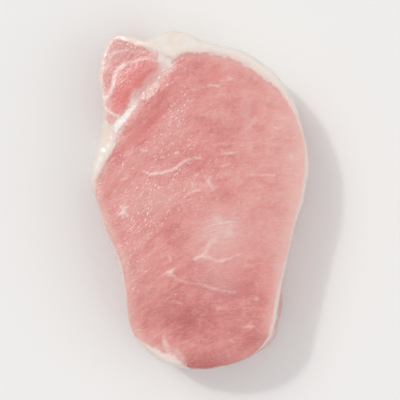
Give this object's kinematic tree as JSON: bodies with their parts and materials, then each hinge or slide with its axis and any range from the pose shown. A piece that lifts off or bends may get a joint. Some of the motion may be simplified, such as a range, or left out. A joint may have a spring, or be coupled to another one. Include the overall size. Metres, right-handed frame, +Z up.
{
  "type": "raw pork chop",
  "caption": "Raw boneless pork loin chop, thick cut, with a small cap muscle, a seam of fat and a fat cap along one edge, lying on its cut face.",
  "frame": {"origin": "middle of the chop's plan box, on the surface it rests on", "axes": "+Y along the chop towards the crest of its fat cap, -X towards the trimmed rib side, +Z up out of the upper cut face"},
  "size_m": [0.084, 0.13, 0.03],
  "materials": {
    "raw_pork": "moist pale pink lean with creamy white fat, satin wet sheen"
  },
  "bodies": {
    "root": {"chop": "raw_pork"}
  },
  "joints": []
}
